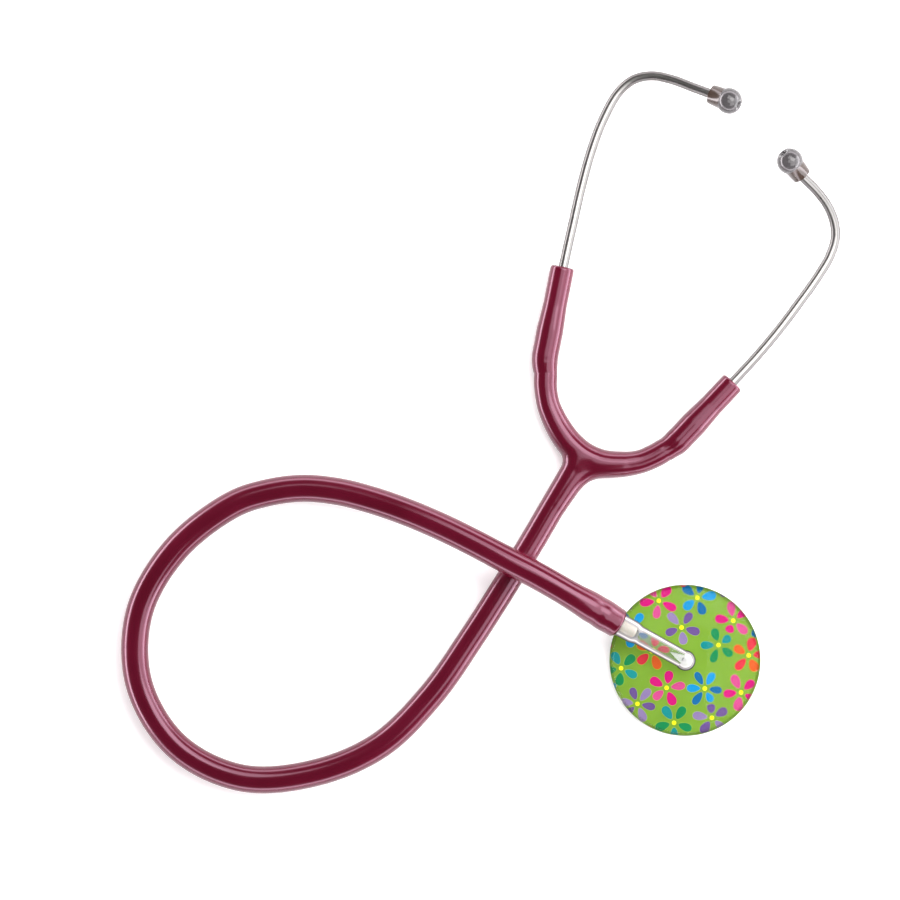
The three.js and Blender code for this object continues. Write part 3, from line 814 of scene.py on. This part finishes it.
def flower_print():
    """Thin inked petals and eyes on the film, in a scattered generic flower pattern."""
    rng = random.Random(23)
    edge = PRINT_RADIUS - 0.1
    inks = [ink(f"petal_ink_{k}_{t}", c) for k, pair in enumerate(PETAL_PAIRS) for t, c in enumerate(pair)]
    inks += [ink("petal_edge_ink", PETAL_EDGE), ink("flower_eye_ink", FLOWER_EYE)]
    edge_slot = 2 * len(PETAL_PAIRS)
    vertices, faces, slots = [], [], []

    def lay(outline, level, slot):
        outline = inside_disc(outline, edge)
        if not outline:
            return
        heights = (PRINT_TOP + level, PRINT_TOP - 0.02)
        corners, sides = skin([[(x, y, height) for x, y in outline] for height in heights])
        first = len(vertices)
        vertices.extend(corners)
        faces.extend(tuple(first + corner for corner in side) for side in sides)
        slots.extend([slot] * len(sides))

    places = flower_places(rng)
    tones = []
    for k, place in enumerate(places):
        near = sorted(range(k), key=lambda j: math.dist(place, places[j]))[:4]
        used = [tones[j] for j in near]
        free = [c for c in range(len(PETAL_PAIRS)) if c not in used]
        tone = rng.choice(free or list(range(len(PETAL_PAIRS))))
        tones.append(tone)
        count = rng.choice((5, 5, 5, 6))
        turn = rng.random() * 2 * math.pi
        for p in range(count):
            angle = turn + 2 * math.pi * p / count + rng.uniform(-0.09, 0.09)
            wide = rng.uniform(1.55, 1.8) if count == 5 else rng.uniform(1.4, 1.55)
            outer = petal_reach(place, angle, rng.uniform(6.2, 7.1), wide, places[:k] + places[k + 1 :])
            if outer < 3.6:
                continue
            level = 0.02 + 0.0015 * k
            lay(petal_outline(place, angle, PETAL_START, outer, wide, 0.13), level, edge_slot)
            lay(petal_outline(place, angle, PETAL_START, outer, wide), level + 0.05, 2 * tone + p % 2)
        eye = [(place[0] + EYE_RADIUS * math.cos(a), place[1] + EYE_RADIUS * math.sin(a))
               for a in np.linspace(0, 2 * math.pi, 24, endpoint=False)]
        lay(eye, 0.11, edge_slot + 1)
    petals = build("flower_petals", vertices, faces, 20)
    for material in inks:
        petals.data.materials.append(material)
    petals.data.polygons.foreach_set("material_index", slots)
    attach(petals, "head")


def stem_connector(materials):
    """The ivory connector, with its spigot in the collar and its barbs in the hose, and its O-ring."""
    profile = [(CONNECTOR_BORE, CONNECTOR_START), (SPIGOT_RADIUS - 0.9, CONNECTOR_START),
               (SPIGOT_RADIUS - 0.25, CONNECTOR_START + 0.25), (SPIGOT_RADIUS, CONNECTOR_START + 0.9),
               (SPIGOT_RADIUS, COLLAR_END), (SHANK_RADIUS, COLLAR_END + GAP)]
    foot = CONNECTOR_END - 3 * BARB_PITCH
    for k in range(3):
        at = foot + k * BARB_PITCH
        profile += [(SHANK_RADIUS, at), (BARB_RADIUS, at + 0.8), (BARB_RADIUS, at + 1.6)]
    profile += [(SHANK_RADIUS - 0.2, CONNECTOR_END), (CONNECTOR_BORE, CONNECTOR_END)]
    connector = lathe("connector", rounded(profile, 0.2, 3), 64, STEM_ROOT, STEM_DIRECTION)
    dress(connector, [materials["ivory"]], "stem", "ivory_plastic", "stem_connector")

    half = SEAL_THICKNESS / 2
    section = [(SEAL_RADIUS + half * math.cos(a), SEAL_POSITION + half * math.sin(a))
               for a in np.linspace(0, 2 * math.pi, 14, endpoint=False)]
    seal = lathe("o_ring", section, 64, STEM_ROOT, STEM_DIRECTION, 60)
    dress(seal, [materials["seal"]], "stem", "grey_rubber", "stem_o_ring")


# ---- hose ----


def smooth(low, high, x):
    """0 up to low and 1 from high on, with a soft step between them."""
    t = min(1.0, max(0.0, (x - low) / (high - low)))
    return t * t * (3 - 2 * t)


def softened(stations, along, width):
    """The value at each length, by straight lines between stations with their corners taken off."""
    places, values = zip(*stations)
    offsets = np.linspace(-width / 2, width / 2, 9)
    return np.mean([np.interp(along + o, places, values) for o in offsets], axis=0)


def hose(materials):
    """One hollow hose from the connector to the Y, with finer rings in the cuff over the barbs."""
    whole = catmull(HOSE_ROUTE)
    length = float(lengths(whole)[-1])
    cuff = between(whole, 0, 24, 0.3)
    rest = between(whole, 25.2, length, 1.25)
    points = np.concatenate([cuff, rest])
    along = lengths(points)
    lip = 0.9
    edge = 0.5 * (1 - np.clip(along / lip, 0, 1)) ** 2
    radii = softened(HOSE_RADII, along, 2.4) - edge
    stretched = BARB_RADIUS + 0.6
    bores = np.array([stretched - (stretched - LUMEN_RADIUS) * smooth(18, 21, s) for s in along])
    piece = pipe("hose", points, radii, bores, 48)
    piece.data.materials.append(materials["vinyl"])
    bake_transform(piece)
    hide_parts("hose_main", "hose_flex", "hose_end")


# ---- the Y moulding ----

FIELD_STEP = 0.2  # how finely the lines of the moulding are followed
PAST_MOUTH = 3.0  # how far the lines go on past each sleeve's mouth, where the moulding is cut off
MESH_PITCH = 0.55  # the side of a cell in the grid that the moulding's mesh is drawn from


def tube_field(points, line, radii, round_start=False, round_end=False):
    """How far each point is outside a tube of changing radius round a line, and the field's gradient.

    The line carries straight on beyond its ends, unless an end is a round one.
    """
    value = np.empty(len(points))
    slope = np.empty((len(points), 3))
    squares = (line**2).sum(1)
    for k in range(0, len(points), 8000):
        chunk = points[k : k + 8000]
        near = (squares - 2 * chunk @ line.T).argmin(1)
        near = np.clip(near, 1, len(line) - 2)
        back, fore = line[near - 1], line[near + 1]
        step = fore - back
        span = np.linalg.norm(step, axis=1)
        t = ((chunk - back) * step).sum(1) / span**2
        if round_start:
            t = np.where(near == 1, np.maximum(t, 0), t)
        if round_end:
            t = np.where(near == len(line) - 2, np.minimum(t, 1), t)
        foot = back + step * t[:, None]
        rise = radii[near + 1] - radii[near - 1]
        radius = radii[near - 1] + rise * t
        out = chunk - foot
        distance = np.linalg.norm(out, axis=1)
        value[k : k + 8000] = distance - radius
        away = out / np.maximum(distance, 1e-9)[:, None]
        slope[k : k + 8000] = away - step * (rise / span**2)[:, None]
    return value, slope


def merge_fields(a, b, soft):
    """The smooth union of two fields."""
    (fa, ga), (fb, gb) = a, b
    h = np.clip(0.5 + 0.5 * (fb - fa) / soft, 0, 1)
    value = fb * (1 - h) + fa * h - soft * h * (1 - h)
    slope = ga * h[:, None] + gb * (1 - h)[:, None]
    return value, slope


def cut_field(a, b, soft):
    """The smooth intersection of two fields."""
    value, slope = merge_fields((-a[0], -a[1]), (-b[0], -b[1]), soft)
    return -value, -slope


def plane_field(points, origin, normal):
    """How far each point is in front of a plane, and the gradient."""
    normal = np.array(normal, float)
    return (points - np.array(origin, float)) @ normal, np.tile(normal, (len(points), 1))


def tube_through(stations):
    """A curved tube's line and radii, from (x, y, radius) stations at the height of the tubing."""
    stations = np.array(stations)
    route = np.column_stack([stations[:, :2], np.full(len(stations), LIE)])
    line = even(catmull(route), FIELD_STEP)
    places = [lengths(line)[np.linalg.norm(line - p, axis=1).argmin()] for p in route]
    return line, softened(list(zip(places, stations[:, 2])), lengths(line), 3.0)


def tube_from(stations, start, end):
    """A straight tube's line and radii, from (length, radius) stations along it."""
    start, end = np.array(start), np.array(end)
    axis = (end - start) / np.linalg.norm(end - start)
    along = np.arange(stations[0][0], np.linalg.norm(end - start) + PAST_MOUTH, FIELD_STEP)
    return start + axis * along[:, None], softened(stations, along, 1.2), axis


def centre_line():
    """The line through both arms' bores, and the length of the arms between the sleeves."""
    arms = catmull(ARMS_ROUTE)
    left, right = ([np.array(side["start"] + side["direction"] * (side["length"] + PAST_MOUTH))]
                   for side in SIDES.values())
    line = np.concatenate([left, arms, right])
    return even(line, FIELD_STEP), float(lengths(arms)[-1])


def bore_radii(line, left_start, right_start):
    """The radius along the bores: tight round the ear tubes, wide round their ferrules."""
    socket_end = FERRULE_START + FERRULE_LENGTH + GAP
    wide, tight = FERRULE_RADIUS + 0.1, TUBE_RADIUS + 0.03
    return softened([
        (0, tight), (left_start - socket_end, tight), (left_start - socket_end + 0.4, wide),
        (left_start - 5.4, wide), (left_start - 5, ARM_LUMEN), (right_start + 5, ARM_LUMEN),
        (right_start + 5.4, wide), (right_start + socket_end - 0.4, wide),
        (right_start + socket_end, tight), (999, tight),
    ], lengths(line), 0.3)


def y_stem():
    """The line of the Y's stem, from below its foot, with its radii and its axis."""
    axis = np.array((Y_STEM_TOP - HOSE_END_AT_Y).normalized())
    run = np.arange(-6, (Y_STEM_TOP - HOSE_END_AT_Y).length, FIELD_STEP)
    full = Y_STEM_RADIUS - 0.01
    radii = softened([(-9, 4.6), (0, 4.6), (0.7, full), (40, full)], run, 0.3)
    return np.array(HOSE_END_AT_Y) + axis * run[:, None], radii, axis


def sleeve(side):
    """A sleeve's line, with its radii, its axis and the middle of its mouth."""
    start, end = [(*p, LIE) for p in side["outer_axis"]]
    bulge = side["bulge"]
    stations = [
        (-3.2, 2.2), (-1.2, 3.6), (0.8, 4.5), (3, SLEEVE_BULGE_RADIUS - 0.06),
        (bulge, SLEEVE_BULGE_RADIUS), (bulge + 9, SLEEVE_END_RADIUS), (60, SLEEVE_END_RADIUS),
    ]
    return *tube_from(stations, start, end), np.array(end)


def y_field():
    """The whole moulding as one field: negative inside the vinyl, with its gradient."""
    bore_line, arms_length = centre_line()
    left_start = SIDES["left"]["length"] + PAST_MOUTH
    bores = bore_radii(bore_line, left_start, left_start + arms_length)
    arms, arm_radii = tube_through(MOULDED_ARMS)
    web, web_radii = tube_through(MOULDED_WEB)
    stem, stem_radii, axis = y_stem()
    sleeves = [sleeve(side) for side in SIDES.values()]

    def field(points):
        whole = tube_field(points, arms, arm_radii, round_start=True, round_end=True)
        for line, radii, out, mouth in sleeves:
            value, slope = tube_field(points, line, radii)
            back = -((points - line[0]) @ out)
            shut = (value + 2 * np.maximum(back, 0), slope - 2 * (back > 0)[:, None] * out)
            whole = merge_fields(whole, shut, 2.4)
            whole = cut_field(whole, plane_field(points, mouth, out), 1.0)
        leg = tube_field(points, stem, stem_radii, round_end=True)
        whole = merge_fields(whole, leg, 3.6)
        side_web = tube_field(points, web, web_radii, round_start=True, round_end=True)
        whole = merge_fields(whole, side_web, 2.0)
        whole = cut_field(whole, plane_field(points, (0, 0, 2 * LIE + 0.35), (0, 0, 1)), 0.9)
        whole = cut_field(whole, plane_field(points, (0, 0, 0), (0, 0, -1)), 0.4)
        whole = cut_field(whole, plane_field(points, stem[0] + axis * 1.0, -axis), 0.1)
        bore = tube_field(points, bore_line, bores)
        leg_bore = tube_field(points, stem, np.full(len(stem), ARM_LUMEN), round_end=True)
        hollow = merge_fields(bore, leg_bore, 1.0)
        return cut_field(whole, (-hollow[0], -hollow[1]), 0.3)

    return field, bore_line, arms_length


def y_moulding(materials):
    """The vinyl Y with both arms and sleeves: a mesh drawn onto its field's surface, then split."""
    field, line, arms_length = y_field()
    points, faces = marched(field, line, MESH_PITCH)
    for _ in range(6):
        value, slope = field(points)
        norm = np.maximum((slope**2).sum(1), 0.2)
        points -= slope * np.clip(value / norm, -0.4, 0.4)[:, None]
    _, slope = field(points)
    normals = slope / np.maximum(np.linalg.norm(slope, axis=1), 1e-9)[:, None]
    return split_y(points, faces, normals, line, arms_length, materials)


def marched(field, line, pitch):
    """A quad mesh of the zero level of a field, one vertex for each crossed cell."""
    margin = (8, 8, 6)
    outside = 9.0
    reach = 7.5
    low = np.array([line[:, 0].min(), HOSE_END_AT_Y.y, LIE]) - margin
    high = np.array([line[:, 0].max(), line[:, 1].max(), LIE]) + margin
    counts = np.ceil((high - low) / pitch).astype(int) + 1
    grid = np.full(counts, outside)
    xs, ys, zs = (low[k] + pitch * np.arange(counts[k]) for k in range(3))
    near = np.zeros(counts[:2], bool)
    stem = np.linspace(np.array(HOSE_END_AT_Y), np.array(Y_JUNCTION), 60)
    for p in np.concatenate([line[::10], stem]):
        i0, j0 = ((p[:2] - reach - low[:2]) / pitch).astype(int)
        i1, j1 = ((p[:2] + reach - low[:2]) / pitch).astype(int) + 1
        near[max(i0, 0) : i1, max(j0, 0) : j1] = True
    cells = np.argwhere(near)
    for part in np.array_split(cells, max(1, len(cells) // 3000)):
        x, y = xs[part[:, 0]], ys[part[:, 1]]
        block = np.stack([np.repeat(x, len(zs)), np.repeat(y, len(zs)), np.tile(zs, len(part))], 1)
        grid[part[:, 0], part[:, 1], :] = field(block)[0].reshape(len(part), len(zs))
    return surface_nets(grid, low, pitch)


def surface_nets(grid, low, pitch):
    """Naive surface nets: a vertex in each crossed cell, and a quad across each crossed edge of the grid."""
    inside = grid < 0
    corners = [inside[i : i - 1 or None, j : j - 1 or None, k : k - 1 or None]
               for i in (0, 1) for j in (0, 1) for k in (0, 1)]
    total = sum(c.astype(int) for c in corners)
    crossed = (total > 0) & (total < 8)
    index = np.full(crossed.shape, -1)
    places = np.argwhere(crossed)
    index[tuple(places.T)] = np.arange(len(places))
    points = low + (places + 0.5) * pitch
    faces = []
    for axis in range(3):
        a = np.take(inside, range(grid.shape[axis] - 1), axis)
        b = np.take(inside, range(1, grid.shape[axis]), axis)
        u, v = [k for k in range(3) if k != axis]
        for e in np.argwhere(a != b):
            if e[u] == 0 or e[v] == 0 or e[u] >= grid.shape[u] - 1 or e[v] >= grid.shape[v] - 1:
                continue
            ring = []
            for du, dv in ((0, 0), (1, 0), (1, 1), (0, 1)):
                c = e.copy()
                c[u] -= 1 - du
                c[v] -= 1 - dv
                ring.append(int(index[tuple(c)]))
            if min(ring) < 0:
                continue
            flip = bool(a[tuple(e)]) ^ (axis == 1)
            faces.append(tuple(ring if flip else ring[::-1]))
    return points, faces


def split_y(points, faces, normals, line, arms_length, materials):
    """Splits the moulding across both arms, with no seam to see."""
    along = lengths(line)
    left_start = SIDES["left"]["length"] + PAST_MOUTH
    left_cut = left_start + LEFT_ARM_LENGTH
    right_cut = left_start + arms_length - RIGHT_ARM_LENGTH
    cuts = {}
    for side, at, sign in (("left", left_cut, -1), ("right", right_cut, 1)):
        here = np.array([np.interp(at, along, line[:, k]) for k in range(3)])
        ahead = np.array([np.interp(at + 1, along, line[:, k]) for k in range(3)])
        cuts[side] = (here, (ahead - here) / np.linalg.norm(ahead - here) * sign)
    centres = np.array([points[list(f)].mean(0) for f in faces])
    owner = np.full(len(faces), 0)
    for code, (side, (here, out)) in enumerate(cuts.items(), 1):
        mine = (centres - here) @ out > 0
        mouth, other = (line[0], line[-1]) if side == "left" else (line[-1], line[0])
        nearer = np.linalg.norm(centres - mouth, axis=1) < np.linalg.norm(centres - other, axis=1)
        owner[mine & nearer] = code
    pieces = {}
    for code, name in enumerate(("y_moulding", "left_arm", "right_arm")):
        chosen = [f for f, o in zip(faces, owner) if o == code]
        used = sorted({v for f in chosen for v in f})
        new = {v: k for k, v in enumerate(used)}
        mesh = bpy.data.meshes.new(name)
        mesh.from_pydata((points[used] * MM).tolist(), [], [tuple(new[v] for v in f) for f in chosen])
        mesh.polygons.foreach_set("use_smooth", [True] * len(mesh.polygons))
        mesh.normals_split_custom_set_from_vertices(normals[used].tolist())
        piece = placed(name, mesh)
        piece.data.materials.append(materials["vinyl"])
        pieces[name] = piece
    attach(pieces["y_moulding"], "root")
    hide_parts("y_hub")
    for side, cut in cuts.items():
        bend(pieces[f"{side}_arm"])
        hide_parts(f"{side}_arm_flex", f"{side}_sleeve")
    return cuts


def bend(piece):
    """Bakes the piece's transform into its mesh."""
    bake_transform(piece)


def leaf_spring(materials):
    """A flat steel strip moulded into the crotch wall, in two halves."""
    offset, thickness, width = SPRING_OFFSET, SPRING_THICKNESS, SPRING_WIDTH
    arms = catmull(ARMS_ROUTE)
    whole = lengths(arms)[-1]
    line = between(arms, whole * 0.02, whole * 0.98, 0.8)
    inward = np.cross((0, 0, 1), tangents(line))
    line = line + inward * offset
    ends = []
    for side in SIDES.values():
        across = Vector((0, 0, 1)).cross(side["direction"]) * side["crotch"] * offset
        ends.append([np.array(side["start"] + across + side["direction"] * d) for d in (1.0, 3.9)])
    line = np.concatenate([ends[0][::-1], line, ends[1]])
    inward = np.cross((0, 0, 1), tangents(line))
    section = rounded([(-width / 2, -thickness / 2), (width / 2, -thickness / 2),
                       (width / 2, thickness / 2), (-width / 2, thickness / 2)], 0.12, 2)
    rings = [[tuple(p + i * b + np.array((0, 0, 1)) * a) for a, b in section]
             for p, i in zip(line, inward)]
    half = len(rings) // 2
    for side, part in (("left", rings[: half + 1]), ("right", rings[half:])):
        strip = build(f"{side}_spring", *skin(part), 40)
        strip.data.materials.append(materials["spring"])
        bend(strip)
        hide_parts("leaf_spring")


# ---- ear tubes and tips ----


def ear_tube(name, side, materials):
    """A bent steel tube with the grooved brass ferrule that holds it in its sleeve."""
    def on_sleeve(d):
        return side["start"] + side["direction"] * d

    route = [on_sleeve(FERRULE_START), on_sleeve(side["length"] / 2), on_sleeve(side["length"] + 1)]
    route += side["route"] + [side["tip"], side["tip"] + side["tip_direction"] * TUBE_IN_TIP]
    line = even(catmull(route), 0.7)
    radii = np.full(len(line), TUBE_RADIUS)
    bores = np.full(len(line), TUBE_BORE)
    for k in (0, -1):
        radii[k] -= 0.1
        bores[k] += 0.1
    line[1] = line[0] + (line[1] - line[0]) * 0.15
    line[-2] = line[-1] + (line[-2] - line[-1]) * 0.15
    tube = pipe(f"{name}_tube", line, radii, bores, 40)
    dress(tube, [materials["steel"]], f"{name}_ear", "stainless", f"{name}_ear_tube")

    profile = [(TUBE_RADIUS + 0.05, 0)]
    pitch = FERRULE_LENGTH / 3
    for k in range(3):
        profile += [(FERRULE_RADIUS - 0.45, k * pitch), (FERRULE_RADIUS, (k + 0.7) * pitch)]
    profile += [(FERRULE_RADIUS - 0.45, FERRULE_LENGTH), (TUBE_RADIUS + 0.05, FERRULE_LENGTH)]
    ferrule = lathe(f"{name}_ferrule", rounded(profile, 0.1, 2), 40,
                    on_sleeve(FERRULE_START), side["direction"])
    dress(ferrule, [materials["brass"]], f"{name}_ear", "brass", f"{name}_tube_ferrule")


def eartip(name, side, materials):
    """The threaded nipple on the tube's end, and the smoky eartip pushed over it."""
    start = 0.5
    thread = [(TUBE_RADIUS + 0.05, start), (NIPPLE_RADIUS - 0.2, start)]
    turns = 8
    pitch = (NIPPLE_LENGTH - 0.8) / turns
    for k in range(turns):
        at = start + 0.4 + k * pitch
        thread += [(NIPPLE_RADIUS - 0.18, at), (NIPPLE_RADIUS, at + pitch / 2)]
    thread += [(NIPPLE_RADIUS - 0.2, start + NIPPLE_LENGTH), (TUBE_RADIUS + 0.05, start + NIPPLE_LENGTH)]
    nipple = lathe(f"{name}_nipple", thread, 48, side["tip"], side["tip_direction"], 25)
    dress(nipple, [materials["steel"]], f"{name}_ear", "stainless", f"{name}_tip_nipple")

    bore = NIPPLE_RADIUS + 0.12
    profile = [(bore, 0), (TIP_BARREL_RADIUS - 0.35, 0), (TIP_BARREL_RADIUS - 0.08, 0.12),
               (TIP_BARREL_RADIUS, 0.5)]
    first = math.asin(TIP_NECK_RADIUS / TIP_BALL_RADIUS)
    last = math.pi - math.asin(TIP_FACE_RADIUS / TIP_BALL_RADIUS)
    for a in np.linspace(first, last, 26):
        profile.append((TIP_BALL_RADIUS * math.sin(a), TIP_BALL_CENTRE - TIP_BALL_RADIUS * math.cos(a)))
    end = profile[-1][1]
    profile += [(TIP_FACE_RADIUS - 0.45, end + 0.08), (TIP_SOUND_HOLE + 0.35, end),
                (TIP_SOUND_HOLE, end - 0.4), (TIP_SOUND_HOLE, TUBE_IN_TIP + 1.0),
                (bore, TUBE_IN_TIP + 0.3)]
    tip = lathe(f"{name}_tip", profile, 64, side["tip"], side["tip_direction"], 50)
    coats = [materials["smoky_ball"], materials["smoky_barrel"]]
    dress(tip, coats, f"{name}_tip", "smoky_vinyl", f"{name}_eartip")
    along = side["tip_direction"]
    for face in tip.data.polygons:
        face.material_index = int((face.center / MM - side["tip"]).dot(along) < TIP_BARREL_END)


# ---- stage ----

VIEW_CENTRE = Vector((-85.4, 76.4, 0)) * MM
VIEW_WIDTH = 327.6 * MM


def camera():
    """Looks straight down from far above, as the object lies."""
    height = 3.0
    data = bpy.data.cameras.new("camera")
    data.sensor_width = 36
    data.lens = 36 * height / VIEW_WIDTH
    data.clip_end = 20
    view = placed("camera", data)
    view.location = VIEW_CENTRE + Vector((0, 0, height))
    bpy.context.scene.camera = view


def softbox(name, place, aim, size, radiance, colour=(1, 1, 1), seen=True):
    """A flat lamp, placed and aimed in millimetres, with its brightness given as radiance."""
    data = bpy.data.lights.new(name, "AREA")
    data.shape = "RECTANGLE"
    data.size, data.size_y = (s * MM for s in size)
    data.energy = radiance * math.pi * data.size * data.size_y
    data.color = colour
    lamp = placed(name, data)
    place, aim = Vector(place) * MM, Vector(aim) * MM
    lamp.location = place
    lamp.rotation_euler = (aim - place).to_track_quat("-Z", "Y").to_euler()
    lamp.visible_camera = seen


def world():
    """A bright band of soft light low all round, falling away overhead, where the camera is."""
    sky = bpy.data.worlds.new("studio")
    sky.use_nodes = True
    tree = sky.node_tree
    background = tree.nodes["Background"]
    place = tree.nodes.new("ShaderNodeTexCoord")
    split = tree.nodes.new("ShaderNodeSeparateXYZ")
    tree.links.new(place.outputs["Generated"], split.inputs["Vector"])
    shade = ramp(tree, split.outputs["Z"], [
        (0.0, (1.0, 0.92, 0.97)), (0.17, (1.0, 0.92, 0.97)), (0.3, (0.1, 0.1, 0.1)),
        (0.5, (0.025, 0.025, 0.025)), (1.0, (0.02, 0.02, 0.02)),
    ])
    tree.links.new(shade, background.inputs["Color"])
    background.inputs["Strength"].default_value = 6.0
    bpy.context.scene.world = sky


def floor():
    """A white table, lit a little from within like a studio light table."""
    mesh = bpy.data.meshes.new("floor")
    reach = 3.0
    mesh.from_pydata([(-reach, -reach, 0), (reach, -reach, 0), (reach, reach, 0), (-reach, reach, 0)],
                     [], [(0, 1, 2, 3)])
    plane = placed("floor", mesh)
    plane.data.materials.append(varied("pale_floor", (0.91, 0.91, 0.91), (0.93, 0.93, 0.93), 6, (0.6, 0.7),
                                       Emission_Color=(1, 1, 1, 1), Emission_Strength=0.4))


def stage():
    world()
    floor()
    middle = (-85, 76, 0)
    softbox("key_box", (330, 700, 1250), middle, (1500, 760), 4.0, (1.0, 0.98, 0.98))
    softbox("near_box", (310, 85, 450), (310, 85, 0), (490, 670), 3.3, (1.0, 0.97, 0.98))
    softbox("over_box", (-15, 165, 450), (-15, 165, 0), (150, 200), 2.8, (1.0, 0.97, 0.98), seen=False)
    softbox("east_wall", (900, 50, 300), (0, 60, 40), (1500, 560), 4.6, (0.97, 0.97, 1.0))
    softbox("west_strip", (-1500, 250, 160), middle, (2600, 420), 6, (1.0, 0.93, 0.95))
    bpy.context.scene.view_settings.view_transform = "Standard"


def main():
    camera()
    materials = make_materials()
    hose(materials)
    clear_head(materials)
    head_stack(materials)
    flower_print()
    stem_connector(materials)
    cuts = y_moulding(materials)
    leaf_spring(materials)
    for name, side in SIDES.items():
        ear_tube(name, side, materials)
        eartip(name, side, materials)
    stage()


main()
